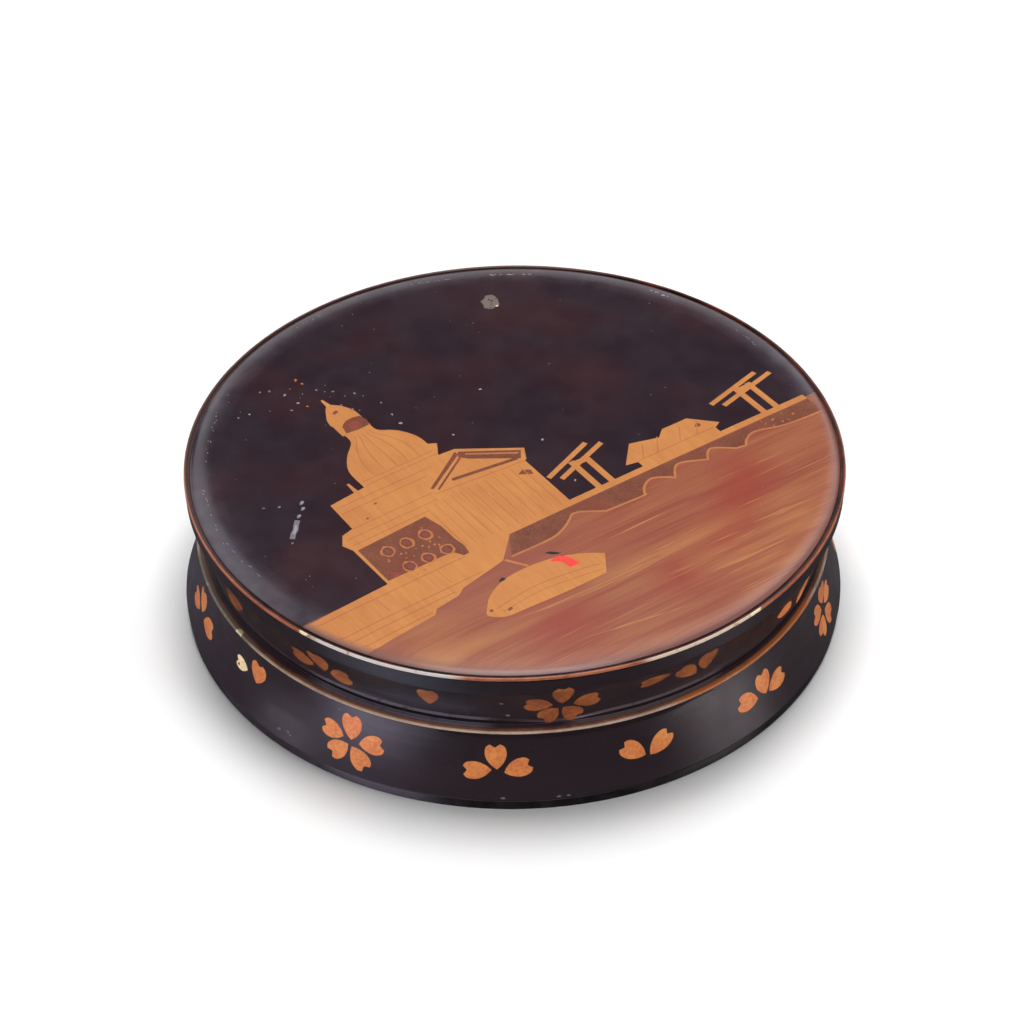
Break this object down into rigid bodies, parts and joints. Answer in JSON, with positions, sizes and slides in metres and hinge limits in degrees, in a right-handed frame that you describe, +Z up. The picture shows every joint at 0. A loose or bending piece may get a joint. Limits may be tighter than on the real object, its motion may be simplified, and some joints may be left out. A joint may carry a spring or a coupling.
{
  "type": "round lacquer box",
  "caption": "Flat round waisted lacquer box with a domed lift-off lid over an inner lip, hollow and empty, with a painted townscape and cherry blossoms.",
  "frame": {"origin": "middle of the foot, on the surface that the box stands on", "axes": "+Z up; the front, where the picture's lower edge lies, faces -Y"},
  "size_m": [0.2042, 0.2042, 0.0515],
  "materials": {
    "base_lacquer": "glossy near-black lacquer over turned wood, with worn edges and gold blossoms",
    "lid_lacquer": "glossy plum-black lacquer over turned wood, with a gold and red-brown painted top"
  },
  "bodies": {
    "root": {"base": "base_lacquer", "lid": "lid_lacquer"}
  },
  "joints": []
}
